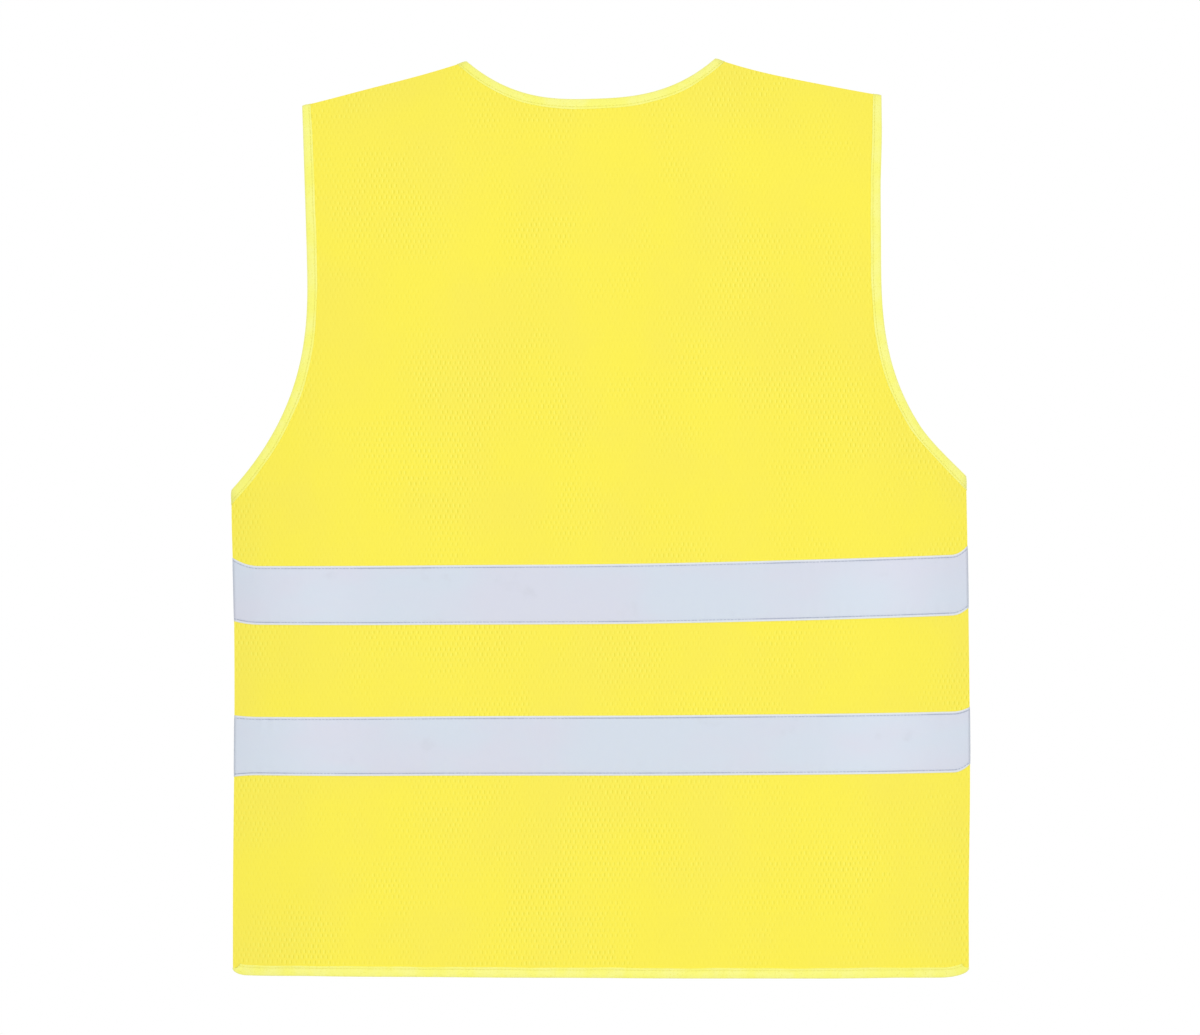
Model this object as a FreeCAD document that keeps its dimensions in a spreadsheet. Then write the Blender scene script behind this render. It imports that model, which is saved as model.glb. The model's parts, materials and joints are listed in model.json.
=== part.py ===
"""High visibility vest: back panel, two fronts that open, reflective tapes, bindings and closure.

Frame: +Z up, +X to the right of someone looking at the back, the back faces -Y and the front +Y.
The origin is the middle of the line between the two neck points, at the top of the shoulder seams.
The wearer's left is at -X. The left front is the outer one: it laps over the right front.
All sizes are in millimetres.
"""
import FreeCAD
import Part
import Sketcher
import math
import os

Vector = FreeCAD.Vector

DIMENSIONS = [
    ("half_width", 308.0, "centre to side seam, flat"),
    ("body_length", 770.0, "neck point to hem"),
    ("neck_half_width", 104.5, "centre to neck point"),
    ("neck_depth", 34.2, "drop of the back neckline"),
    ("neck_power", 2.8, "squareness of the back neckline"),
    ("shoulder_slope", 0.32, "fall of the shoulder seam beside the neck, mm per mm"),
    ("shoulder_curve", 0.00048, "easing of that fall, per mm"),
    ("armhole_waist_x", 241.0, "centre to armhole at its narrowest"),
    ("armhole_waist_depth", 170.0, "neck point level to there"),
    ("armhole_flare", 2.0, "outward lean of the armhole above there"),
    ("underarm_depth", 356.0, "neck point level to the top of the side seam"),
    ("armhole_power", 2.6, "sharpness of the underarm curve"),
    ("hem_corner", 12.0, "radius of the hem's corners"),
    ("back_depth", 34.0, "middle plane to the inside of the back"),
    ("front_depth", 38.0, "middle plane to the inside of the outer front"),
    ("front_step", 4.0, "how far the inner front lies behind the outer front"),
    ("shoulder_round", 110.0, "drop over which the panels turn in to the shoulder seam"),
    ("side_round", 130.0, "width over which the panels turn in to the side seam"),
    ("fabric", 1.0, "thickness of the mesh fabric"),
    ("binding_width", 8.0, "width of the folded binding"),
    ("binding_ply", 0.6, "thickness of one ply of the binding"),
    ("tape_width", 50.0, "width of the reflective tape"),
    ("tape_ply", 0.5, "thickness of the reflective tape"),
    ("upper_tape_depth", 421.0, "neck point level to the upper tape's top edge"),
    ("lower_tape_depth", 550.0, "neck point level to the lower tape's top edge"),
    ("lap", 20.0, "how far each front passes the centre line"),
    ("v_depth", 300.0, "neck point level to the end of the V neck"),
    ("v_corner", 60.0, "radius where the V neck meets the front edge"),
    ("crease_top", 100.0, "neck point level to the top of the fold line of a front"),
    ("crease_hem_x", 170.0, "centre to the fold line at the hem"),
    ("crease_gap", 0.6, "slot along the fold line"),
    ("flap_tip", 4.0, "top of the fold line to the top of a flap"),
    ("patch_width", 20.0, "width of a hook or loop patch"),
    ("patch_length", 80.0, "length of a hook or loop patch"),
    ("patch_ply", 1.2, "thickness of a hook or loop patch"),
    ("upper_patch_depth", 325.0, "neck point level to the upper patches"),
    ("lower_patch_depth", 625.0, "neck point level to the lower patches"),
    ("seam_width", 10.0, "width of an overlocked seam allowance"),
    ("seam_ply", 0.7, "thickness of a seam allowance"),
    ("seam_clear", 1.5, "seam to the allowance inside it"),
    ("seam_end", 14.0, "end of a seam to the end of its allowance"),
    ("label_y", -25.2, "front face of the care label"),
    ("label_top", 43.0, "neck point level to the labels' sewn edge"),
    ("care_width", 40.0, "width of the care label"),
    ("care_length", 62.0, "length of the care label"),
    ("tab_width", 24.0, "width of the size tab"),
    ("tab_length", 22.0, "length of the size tab"),
    ("label_ply", 0.5, "thickness of a label"),
]

# Panel faces: the step between poles, and how far the net runs past the outline.
NET_STEP = 12.0
NET_MARGIN = 24.0
# Cutters reach past everything they cut: along Y, outside an edge and beyond its ends.
CUT_DEPTH = 120.0
RIM_OUTSIDE = 10.0
RIM_RUN_ON = 15.0
# Points along the neckline and along each armhole.
CURVE_POINTS = 13


def make_sheet(doc):
    """Spreadsheet of the driving dimensions, one row each: a note and the value."""
    sheet = doc.addObject("Spreadsheet::Sheet", "dims")
    for row, (alias, value, note) in enumerate(DIMENSIONS, start=1):
        sheet.set(f"A{row}", note)
        sheet.set(f"B{row}", str(value))
        sheet.setAlias(f"B{row}", alias)
    doc.recompute()
    return sheet


class Sizes:
    """The spreadsheet's values by alias, for the shapes that formulas make."""

    def __init__(self, sheet):
        for alias, _value, _note in DIMENSIONS:
            setattr(self, alias, float(sheet.get(alias)))


doc = FreeCAD.newDocument("high_visibility_vest")
sheet = make_sheet(doc)
d = Sizes(sheet)
nodes = []


# --- outline of the garment, seen along Y ---------------------------------------------------

def shoulder_z(x):
    """Height of the shoulder line at x. Between the neck points it goes on as a low dome."""
    beyond = abs(x) - d.neck_half_width
    if beyond >= 0.0:
        return -(d.shoulder_slope * beyond - d.shoulder_curve * beyond ** 2)
    dome = d.shoulder_slope * d.neck_half_width / 2.0
    return dome * (1.0 - (x / d.neck_half_width) ** 2)


def neckline_z(x):
    """Height of the back neckline at x."""
    return -d.neck_depth * (1.0 - (abs(x) / d.neck_half_width) ** d.neck_power)


def shoulder_end():
    """Outer end of the right shoulder seam as (x, z)."""
    x = d.armhole_waist_x + d.armhole_flare
    return x, shoulder_z(x)


def armhole_x(depth):
    """Half width at the armhole edge at a depth below the neck points."""
    past = depth - d.armhole_waist_depth
    if past <= 0.0:
        rise = d.armhole_waist_depth + shoulder_end()[1]
        return d.armhole_waist_x + d.armhole_flare * (past / rise) ** 2
    reach = past / (d.underarm_depth - d.armhole_waist_depth)
    return d.armhole_waist_x + (d.half_width - d.armhole_waist_x) * reach ** d.armhole_power


def spread(start, stop, count):
    """Evenly spaced numbers from start to stop."""
    return [start + (stop - start) * step / (count - 1) for step in range(count)]


def neckline_points():
    """Back neckline from the left neck point to the right one, as (x, z)."""
    return [(x, neckline_z(x)) for x in spread(-d.neck_half_width, d.neck_half_width, CURVE_POINTS)]


def shoulder_points(side, neck_margin=0.0, end_margin=0.0):
    """Shoulder seam from the neck point out, less a margin at each end, as (x, z)."""
    xs = spread(d.neck_half_width + neck_margin, shoulder_end()[0] - end_margin, 5)
    return [(side * x, shoulder_z(x)) for x in xs]


def armhole_points(side):
    """Armhole edge from the shoulder down to the side seam, as (x, z)."""
    depths = spread(-shoulder_end()[1], d.underarm_depth, CURVE_POINTS)
    return [(side * armhole_x(depth), -depth) for depth in depths]


def v_points(side):
    """V neck edge from the neck point of that side to the start of the front edge, as (x, z)."""
    return [(side * d.neck_half_width, 0.0), (-side * d.lap, -d.v_depth)]


def v_x(depth):
    """Distance from the centre line to the V neck edge, negative once past the centre."""
    return d.neck_half_width - (d.neck_half_width + d.lap) * depth / d.v_depth


def crease_x(depth):
    """Distance from the centre line to the fold line of a front."""
    run = (d.crease_hem_x - v_x(d.crease_top)) / (d.body_length - d.crease_top)
    return v_x(d.crease_top) + run * (depth - d.crease_top)


def to_space(points):
    return [Vector(x, 0.0, z) for x, z in points]


def curve(points):
    """Edge through the points: a line for two, a spline for more."""
    places = to_space(points)
    if len(places) == 2:
        return Part.LineSegment(*places).toShape()
    spline = Part.BSplineCurve()
    spline.interpolate(places)
    return spline.toShape()


def hem_corner_arc(side):
    """Rounded corner between the side seam and the hem."""
    bend = d.hem_corner * (1.0 - math.sqrt(0.5))
    corners = [(d.half_width, -d.body_length + d.hem_corner),
               (d.half_width - bend, -d.body_length + bend),
               (d.half_width - d.hem_corner, -d.body_length)]
    return Part.Arc(*to_space([(side * x, z) for x, z in corners])).toShape()


def face_of(edges):
    """Flat face in the XZ plane inside a closed run of edges."""
    return Part.Face(Part.Wire(Part.__sortEdges__(edges)))


def swept(face, y_from, y_to):
    """Solid that a face sweeps along Y, between two distances from where it lies."""
    low = face.copy()
    low.translate(Vector(0.0, y_from, 0.0))
    return low.extrude(Vector(0.0, y_to - y_from, 0.0))


def side_edges(side):
    """Shoulder seam, armhole, side seam and hem corner of one side."""
    side_top = (side * d.half_width, -d.underarm_depth)
    side_foot = (side * d.half_width, -d.body_length + d.hem_corner)
    return [curve(shoulder_points(side)), curve(armhole_points(side)),
            curve([side_top, side_foot]), hem_corner_arc(side)]


def back_outline():
    """Face of the whole back, bound edges included."""
    hem_x = d.half_width - d.hem_corner
    hem = curve([(-hem_x, -d.body_length), (hem_x, -d.body_length)])
    return face_of([curve(neckline_points()), hem] + side_edges(-1) + side_edges(1))


def front_outline(side):
    """Face of the sewn-down part of a front, from the fold line out to the side seam."""
    slot = d.crease_gap / 2.0
    neck = (side * d.neck_half_width, 0.0)
    top = (side * (crease_x(d.crease_top) + slot), -d.crease_top)
    foot = (side * (crease_x(d.body_length) + slot), -d.body_length)
    corner = (side * (d.half_width - d.hem_corner), -d.body_length)
    return face_of([curve([neck, top]), curve([top, foot]), curve([foot, corner])] + side_edges(side))


def shifted(points, distance):
    """Points moved sideways from their own path: to the right of its direction when positive."""
    moved = []
    for index, (x, z) in enumerate(points):
        before = points[max(index - 1, 0)]
        after = points[min(index + 1, len(points) - 1)]
        run_x = after[0] - before[0]
        run_z = after[1] - before[1]
        length = math.hypot(run_x, run_z)
        moved.append((x + distance * run_z / length, z - distance * run_x / length))
    return moved


def run_on(points):
    """Points with a straight run-on at both ends."""
    def beyond(end, inner):
        length = math.hypot(end[0] - inner[0], end[1] - inner[1])
        return (end[0] + (end[0] - inner[0]) * RIM_RUN_ON / length,
                end[1] + (end[1] - inner[1]) * RIM_RUN_ON / length)
    return [beyond(points[0], points[1])] + points + [beyond(points[-1], points[-2])]


def rim(points, inward, width):
    """Face along an edge: width inside it, and some way outside. inward is +1 or -1."""
    path = run_on(points)
    inside = shifted(path, inward * width)
    outside = shifted(path, -inward * RIM_OUTSIDE)
    if len(points) == 2:
        inside = [inside[0], inside[-1]]
        outside = [outside[0], outside[-1]]
    ends = [curve([inside[0], outside[0]]), curve([inside[-1], outside[-1]])]
    return face_of([curve(inside), curve(outside)] + ends)


def hem_rim(width):
    """Face along the hem: width above it, and some way below."""
    x = d.half_width + RIM_RUN_ON
    low = -d.body_length - RIM_OUTSIDE
    high = -d.body_length + width
    corners = [(-x, low), (x, low), (x, high), (-x, high), (-x, low)]
    return face_of([curve([a, b]) for a, b in zip(corners, corners[1:])])


# --- form of the panels: how far each stands off the middle plane ---------------------------

def fullness(x, z):
    """0 at the shoulder and side seams, 1 over the flat middle of a panel."""
    below = (shoulder_z(x) - z) / d.shoulder_round
    inside = (d.half_width - abs(x)) / d.side_round

    def ease(part):
        if part >= 1.0:
            return 1.0
        if part <= 0.0:
            return 2.0 * part
        return 1.0 - (1.0 - part) ** 2

    return ease(below) * ease(inside)


def panel_face(depth, x_low, x_high):
    """Smooth face y = depth * fullness(x, z), from a net of poles a step apart."""
    columns = round((x_high - x_low) / NET_STEP) + 1
    height = d.body_length + 3.0 * NET_MARGIN
    rows = round(height / NET_STEP) + 1
    xs = spread(x_low, x_high, columns)
    zs = spread(-d.body_length - NET_MARGIN, 2.0 * NET_MARGIN, rows)
    poles = [[Vector(x, depth * fullness(x, z), z) for z in zs] for x in xs]
    surface = Part.BSplineSurface()
    surface.buildFromPolesMultsKnots(
        poles,
        [4] + [1] * (columns - 4) + [4], [4] + [1] * (rows - 4) + [4],
        list(range(columns - 2)), list(range(rows - 2)),
        False, False, 3, 3)
    return surface.toShape()


class Side:
    """One curved panel of the vest: its face, its outline and the way out of the vest."""

    def __init__(self, outward, depth, outline, x_low, x_high):
        self.outward = outward
        self.face = panel_face(outward * depth, x_low, x_high)
        self.cutter = swept(outline, 0.0, outward * CUT_DEPTH)

    def piece(self, inner, outer, cut_face=None):
        """Layer from inner to outer, measured outwards, trimmed to the outline and to a face."""
        solid = swept(self.face, self.outward * inner, self.outward * outer).common(self.cutter)
        if cut_face is not None:
            solid = solid.common(swept(cut_face, -CUT_DEPTH, CUT_DEPTH))
        return solid

    def fabric(self, rims):
        """The panel's cloth, stopping short of each bound edge by one ply of binding."""
        solid = self.piece(0.0, d.fabric)
        for edge in rims:
            solid = solid.cut(swept(edge, -CUT_DEPTH, CUT_DEPTH))
        return solid

    def binding(self, edge, cloth):
        """Folded tape round one bound edge, with the cloth inside it."""
        both_plies = self.piece(-d.binding_ply, d.fabric + d.binding_ply, edge)
        return both_plies.cut(cloth)

    def tape(self, depth):
        """Reflective tape on the outside of the cloth."""
        x = d.half_width + RIM_RUN_ON
        corners = [(-x, -depth), (x, -depth), (x, -depth - d.tape_width), (-x, -depth - d.tape_width)]
        band = face_of([curve([a, b]) for a, b in zip(corners, corners[1:] + corners[:1])])
        return self.piece(d.fabric, d.fabric + d.tape_ply, band)


def feature(name, shape):
    """Part::Feature that holds a formula-made shape, under the node's name."""
    item = doc.addObject("Part::Feature", name)
    item.Label = name
    item.Shape = shape.removeSplitter().Solids[0]
    item.Placement = FreeCAD.Placement()
    nodes.append(item)
    return item


def joined(shapes):
    """One strip from the lengths that meet at the seams."""
    return shapes[0].fuse(shapes[1:])


NET_EDGE = d.half_width + NET_MARGIN
back = Side(-1, d.back_depth, back_outline(), -NET_EDGE, NET_EDGE)
fronts = {
    "left": Side(1, d.front_depth, front_outline(-1), -NET_EDGE, 0.0),
    "right": Side(1, d.front_depth - d.front_step, front_outline(1), 0.0, NET_EDGE),
}
SIGN = {"left": -1, "right": 1}


def bound_edges(width):
    """Rim faces of the bound edges, by name, each width wide."""
    return {
        "neck": rim(neckline_points(), 1, width),
        "hem": hem_rim(width),
        "armhole left": rim(armhole_points(-1), -1, width),
        "armhole right": rim(armhole_points(1), 1, width),
        "v left": rim(v_points(-1), 1, width),
        "v right": rim(v_points(1), -1, width),
    }


def curved_nodes():
    """Cloth, bindings and tapes of the back and of the sewn-down part of each front."""
    thin = bound_edges(d.binding_ply)
    wide = bound_edges(d.binding_width)
    back_cloth = back.fabric([thin["neck"], thin["hem"], thin["armhole left"], thin["armhole right"]])
    feature("back_panel", back_cloth)
    cloths = {}
    for name, front in fronts.items():
        cloths[name] = front.fabric([thin["v " + name], thin["hem"], thin["armhole " + name]])
        feature(f"front_{name}_panel", cloths[name])

    neck = [back.binding(wide["neck"], back_cloth)]
    hem = [back.binding(wide["hem"], back_cloth)]
    for name, front in fronts.items():
        neck.append(front.binding(wide["v " + name], cloths[name]))
        hem.append(front.binding(wide["hem"], cloths[name]))
        armhole = wide["armhole " + name]
        strip = [back.binding(armhole, back_cloth), front.binding(armhole, cloths[name])]
        feature(f"armhole_binding_{name}", joined(strip))
    feature("neck_binding", joined(neck))
    feature("hem_binding", joined(hem))

    for level, depth in (("upper", d.upper_tape_depth), ("lower", d.lower_tape_depth)):
        feature(f"{level}_tape_back", back.tape(depth))
        for name, front in fronts.items():
            feature(f"{level}_tape_{name}_side", front.tape(depth))


def shoulder_seam(name):
    """Overlocked allowance that hangs below the shoulder seam, inside the vest."""
    side = SIGN[name]
    points = shoulder_points(side, d.seam_end, d.seam_end)
    top = shifted(points, side * d.seam_clear)
    foot = shifted(points, side * (d.seam_clear + d.seam_width))
    ends = [curve([top[0], foot[0]]), curve([top[-1], foot[-1]])]
    strip = face_of([curve(top), curve(foot)] + ends)
    feature(f"shoulder_seam_{name}", swept(strip, -d.seam_ply / 2.0, d.seam_ply / 2.0))


curved_nodes()
shoulder_seam("left")
shoulder_seam("right")


# --- flat pieces: the folding part of each front, the closure, the labels and the side seams ----

# Expressions read the sheet's cells. Each x is the distance from the centre line on the piece's
# own side, negative past the centre; each depth is below the neck points.

V_RUN = "(dims.neck_half_width + dims.lap) / dims.v_depth"
V_AT_FOLD = f"(dims.neck_half_width - {V_RUN} * dims.crease_top)"
FOLD_RUN = f"(dims.crease_hem_x - {V_AT_FOLD}) / (dims.body_length - dims.crease_top)"
V_WIDENING = f"sqrt(1 + ({V_RUN}) ^ 2)"
FLAP_TIP = "(dims.crease_top + dims.flap_tip)"
BAND_TIP = f"(dims.crease_top + {V_WIDENING} * dims.binding_width / ({V_RUN} + {FOLD_RUN}))"
HEM = "dims.body_length"
HEM_CLOTH = "(dims.body_length - dims.binding_ply)"
HEM_BAND = "(dims.body_length - dims.binding_width)"
BAND_X = "(dims.binding_width - dims.lap)"


def v_at(depth, inset="0"):
    """Distance from the centre line to the V neck edge, or to a line inset from it."""
    return f"(dims.neck_half_width - {V_RUN} * {depth} + {V_WIDENING} * {inset})"


def fold_at(depth):
    """Distance from the centre line to a flap's own side of the fold line."""
    return f"({V_AT_FOLD} + {FOLD_RUN} * ({depth} - dims.crease_top) - dims.crease_gap / 2)"


def flat_body(name, side, corners, thickness, y, rounds=()):
    """PartDesign body: a polygon in the XZ plane, padded towards +Y from the plane y.

    corners are pairs of expressions, x and depth. rounds are corner numbers and radii."""
    body = doc.addObject("PartDesign::Body", name)
    body.Label = name
    sketch = body.newObject("Sketcher::SketchObject", name + "_outline")
    plane = [item for item in body.Origin.OriginFeatures if item.Role == "XZ_Plane"][0]
    sketch.AttachmentSupport = [(plane, "")]
    sketch.MapMode = "FlatFace"
    places = [Vector(side * sheet.evalExpression(x), -sheet.evalExpression(depth), 0.0)
              for x, depth in corners]
    count = len(places)
    for index, place in enumerate(places):
        sketch.addGeometry(Part.LineSegment(place, places[(index + 1) % count]), False)
    for index in range(count):
        sketch.addConstraint(Sketcher.Constraint("Coincident", index, 2, (index + 1) % count, 1))
    for index, (x, depth) in enumerate(corners):
        across = Sketcher.Constraint("DistanceX", -1, 1, index, 1, places[index].x)
        down = Sketcher.Constraint("DistanceY", -1, 1, index, 1, places[index].y)
        sketch.setExpression(f"Constraints[{sketch.addConstraint(across)}]", f"{side} * {x} * 1 mm")
        sketch.setExpression(f"Constraints[{sketch.addConstraint(down)}]", f"-{depth} * 1 mm")
    pad = body.newObject("PartDesign::Pad", name + "_pad")
    pad.Profile = sketch
    pad.Reversed = True
    pad.setExpression("Length", f"({thickness}) * 1 mm")
    for number, radius in rounds:
        doc.recompute()
        base = body.Tip
        fillet = body.newObject("PartDesign::Fillet", f"{name}_round_{number}")
        fillet.Base = (base, [edge_through(base.Shape, places[number])])
        fillet.setExpression("Radius", f"({radius}) * 1 mm")
    body.setExpression(".Placement.Base.y", f"({y}) * 1 mm")
    return body


def edge_through(shape, place):
    """Name of the edge along Y whose ends lie nearest to a sketch corner."""
    def miss(edge):
        if abs(edge.tangentAt(edge.FirstParameter).y) < 0.99:
            return math.inf
        centre = edge.CenterOfMass
        return math.hypot(centre.x - place.x, centre.z - place.y)
    misses = [miss(edge) for edge in shape.Edges]
    return f"Edge{misses.index(min(misses)) + 1}"


def box(name, x, y, z, length, width, height):
    """Part::Box from six expressions, its low corner at x, y, z."""
    item = doc.addObject("Part::Box", name)
    item.Label = name
    for prop, value in (("Length", length), ("Width", width), ("Height", height),
                        (".Placement.Base.x", x), (".Placement.Base.y", y), (".Placement.Base.z", z)):
        item.setExpression(prop, f"({value}) * 1 mm")
    nodes.append(item)


def band_round_flap(name, label, side, corners, y, cloth, rounds=()):
    """Folded binding on an edge of a flap: both plies as one pad, less the cloth inside it."""
    both_plies = flat_body(f"{label}_plies", side, corners, "dims.fabric + 2 * dims.binding_ply",
                           f"{y} - dims.binding_ply", rounds)
    item = doc.addObject("Part::Cut", f"{label}_{name}")
    item.Label = f"{label}_{name}"
    item.Base = both_plies
    item.Tool = cloth
    nodes.append(item)


def flap(name, y):
    """The part of a front that folds open: cloth, two tapes, edge binding and hem binding."""
    side = SIGN[name]
    cloth_corners = [
        (fold_at(FLAP_TIP), FLAP_TIP),
        (v_at(FLAP_TIP, "dims.binding_ply"), FLAP_TIP),
        ("(dims.binding_ply - dims.lap)", "dims.v_depth"),
        ("(dims.binding_ply - dims.lap)", HEM_CLOTH),
        (fold_at(HEM_CLOTH), HEM_CLOTH),
    ]
    cloth = flat_body(f"front_{name}_flap", side, cloth_corners, "dims.fabric", y,
                      [(2, "dims.v_corner - dims.binding_ply")])
    nodes.append(cloth)
    edge_corners = [
        (fold_at(FLAP_TIP), FLAP_TIP),
        (v_at(FLAP_TIP), FLAP_TIP),
        ("(0 - dims.lap)", "dims.v_depth"),
        ("(0 - dims.lap)", HEM),
        (BAND_X, HEM),
        (BAND_X, "dims.v_depth"),
        (fold_at(BAND_TIP), BAND_TIP),
    ]
    band_round_flap(name, "front_edge_binding", side, edge_corners, y, cloth,
                    [(2, "dims.v_corner"), (5, "dims.v_corner - dims.binding_width")])
    hem_corners = [(fold_at(HEM), HEM), (fold_at(HEM_BAND), HEM_BAND), (BAND_X, HEM_BAND), (BAND_X, HEM)]
    band_round_flap(name, "hem_binding_flap", side, hem_corners, y, cloth)
    for level in ("upper", "lower"):
        top = f"dims.{level}_tape_depth"
        foot = f"({top} + dims.tape_width)"
        corners = [(fold_at(top), top), (BAND_X, top), (BAND_X, foot), (fold_at(foot), foot)]
        tape = flat_body(f"{level}_tape_{name}_flap", side, corners, "dims.tape_ply", f"{y} + dims.fabric")
        nodes.append(tape)


def closure_patch(name, level, y):
    """Hook or loop patch across the centre line."""
    box(f"{name}_patch_{level}", "0 - dims.patch_width / 2", y,
        f"0 - dims.{level}_patch_depth - dims.patch_length",
        "dims.patch_width", "dims.patch_ply", "dims.patch_length")


def label(name, size, y):
    """Blank woven label that hangs from the back neck."""
    box(name, f"0 - dims.{size}_width / 2", y, f"0 - dims.label_top - dims.{size}_length",
        f"dims.{size}_width", "dims.label_ply", f"dims.{size}_length")


def side_seam(name):
    """Overlocked allowance along the inside of a side seam."""
    edge = "(dims.half_width - dims.seam_clear)"
    low_x = {"left": f"0 - {edge}", "right": f"{edge} - dims.seam_width"}[name]
    box(f"side_seam_{name}", low_x, "0 - dims.seam_ply / 2", "dims.seam_end - dims.body_length",
        "dims.seam_width", "dims.seam_ply", "dims.body_length - dims.underarm_depth - 2 * dims.seam_end")


def flat_nodes():
    """Every piece that lies flat."""
    outer_y = "dims.front_depth"
    inner_y = "dims.front_depth - dims.front_step"
    flap("left", outer_y)
    flap("right", inner_y)
    for level in ("upper", "lower"):
        closure_patch("hook", level, f"{outer_y} - dims.patch_ply")
        closure_patch("loop", level, f"{inner_y} + dims.fabric")
    label("care_label", "care", "dims.label_y - dims.label_ply")
    label("size_tab", "tab", "dims.label_y")
    side_seam("left")
    side_seam("right")


flat_nodes()


# --- checks and files ---------------------------------------------------------------------------

def check_document():
    """Stop when anything in the document failed, or a node isn't one valid solid."""
    doc.recompute()
    for item in doc.Objects:
        if "Invalid" in item.State or "Error" in item.State:
            raise RuntimeError(f"{item.Label} failed: {item.State}")
    for node in nodes:
        if node.Shape.isNull() or not node.Shape.isValid() or len(node.Shape.Solids) != 1:
            raise RuntimeError(f"{node.Label} isn't one valid solid")


check_document()
os.makedirs("parts", exist_ok=True)
for node in nodes:
    node.Shape.exportStep(f"parts/{node.Label}.step")
    print(node.Label, round(node.Shape.Volume, 1))
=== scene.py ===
"""High visibility vest: cloth, tapes, bindings, closure and stitching round the CAD frame.

Everything is in metres, in the frame of the CAD model: the back faces -Y, the front +Y, and the
wearer's left is at -X. A place on the vest is (face, x, z, lift): a panel, a point of its flat
outline, and a distance outwards from the inside of its cloth.
"""

import json
import math

import bpy
import numpy as np
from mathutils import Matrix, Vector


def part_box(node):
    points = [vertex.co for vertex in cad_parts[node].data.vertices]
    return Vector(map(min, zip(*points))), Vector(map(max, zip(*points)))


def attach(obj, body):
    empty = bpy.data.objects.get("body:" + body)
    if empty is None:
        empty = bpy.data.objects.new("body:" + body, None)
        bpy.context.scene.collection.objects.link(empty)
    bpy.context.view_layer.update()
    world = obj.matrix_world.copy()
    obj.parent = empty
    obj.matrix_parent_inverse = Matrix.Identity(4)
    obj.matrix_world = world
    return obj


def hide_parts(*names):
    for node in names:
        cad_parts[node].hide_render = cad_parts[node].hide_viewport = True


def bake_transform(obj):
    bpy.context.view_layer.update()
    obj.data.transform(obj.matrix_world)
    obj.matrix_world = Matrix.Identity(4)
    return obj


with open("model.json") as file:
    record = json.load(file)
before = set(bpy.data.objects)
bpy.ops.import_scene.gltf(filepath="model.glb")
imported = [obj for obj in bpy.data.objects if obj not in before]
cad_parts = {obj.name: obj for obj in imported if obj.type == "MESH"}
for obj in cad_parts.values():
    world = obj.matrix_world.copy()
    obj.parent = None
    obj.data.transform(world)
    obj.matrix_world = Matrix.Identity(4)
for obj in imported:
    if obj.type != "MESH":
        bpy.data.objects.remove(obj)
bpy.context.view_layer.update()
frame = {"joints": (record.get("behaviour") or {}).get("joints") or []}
rng = np.random.default_rng(7)

MM = 0.001
FULL_TURN = 2.0 * math.pi

# --- sizes ---

back_low, back_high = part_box("back_panel")
# Half width of the chest, length, and the back neckline with its steepness.
HALF_WIDTH = back_high.x
LENGTH = -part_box("hem_binding")[0].z
NECK_HALF = 104.5 * MM
NECK_DEPTH = 34.2 * MM
NECK_POWER = 2.8
# Fall of the shoulder line, and how it eases outwards.
SHOULDER_SLOPE = 0.32
SHOULDER_CURVE = 0.48
# Least half width between the armholes, how deep that is, the flare above it, and the depth and
# steepness of the curve below it.
ARMHOLE_X = 241.0 * MM
ARMHOLE_WAIST = 170.0 * MM
ARMHOLE_FLARE = 2.0 * MM
UNDERARM = 356.0 * MM
ARMHOLE_POWER = 2.6
# Width and height of the rounded hem corner at each side.
HEM_CORNERS = {-1: (12.0 * MM, 5.5 * MM), 1: (22.0 * MM, 7.0 * MM)}
# How far from the shoulder and side seams the form rounds out.
SHOULDER_ROUND = 110.0 * MM
SIDE_ROUND = 130.0 * MM
# How far each front passes the middle, and the depth and corner radius of the V neck.
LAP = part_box("front_edge_binding_left")[1].x
V_DEPTH = 300.0 * MM
V_CORNER = 60.0 * MM
# Inside and outside of the cloth, its middle, and the thickness of the CAD's cloth.
CLOTH_LOW = 0.2 * MM
CLOTH_HIGH = 0.8 * MM
CLOTH_MIDDLE = 0.5 * MM
CAD_FABRIC = 1.0 * MM
BACK_DEPTH = -back_low.y - CAD_FABRIC
OUTER_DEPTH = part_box("front_left_flap")[0].y
INNER_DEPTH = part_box("front_right_flap")[0].y
BINDING = 8.2 * MM
# How far a seam allowance keeps from its seam, and from the seam's ends.
SEAM_START = 1.5 * MM
SEAM_MARGIN = 14.0 * MM
# Spacing of outline points, and the least that keeps two of them apart.
OUTLINE_STEP = 2.5 * MM
SAME_PLACE = 1e-6

FACES = {"back": (-1, BACK_DEPTH), "left": (1, OUTER_DEPTH), "right": (1, INNER_DEPTH)}
FRONT_SIGN = {"left": -1, "right": 1}
FRONT_BODY = {"left": "outer_front", "right": "inner_front"}

# The vest leans a little: by what slope, from what height and over what height up, and about
# what height.
LEAN = 0.0192
LEAN_LOW = -0.72
LEAN_RISE = 0.36
LEAN_PIVOT = -0.40
# Soft shifts as (size, centre, reach): of each side edge by height, of the right armhole by
# height, and of the shoulders by width.
SIDE_SHIFTS = {1: ((1.6 * MM, -0.63, 0.10), (1.2 * MM, -0.77, 0.06)),
               -1: ((-1.2 * MM, -0.375, 0.05), (2.8 * MM, -0.20, 0.14))}
ARMHOLE_SHIFT = ((-4.2 * MM, -0.305, 0.09),)
SHOULDER_SHIFTS = ((1.7 * MM, -0.19, 0.05), (-2.2 * MM, 0.13, 0.05), (-1.0 * MM, -0.02, 0.06))
# The right armhole also lies in by this much. Both shifts of it act between two heights and
# outwards of a width. Those, and the shoulder's and the hem's heights, are (start, reach).
ARMHOLE_PULL = -1.7 * MM
ARMHOLE_TOP = (0.06, 0.06)
ARMHOLE_FOOT = (-0.362, 0.05)
ARMHOLE_OUTER = (0.10, 0.14)
SHOULDER_BAND = (-0.14, 0.10)
HEM_BAND = (0.60, 0.15)
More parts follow.
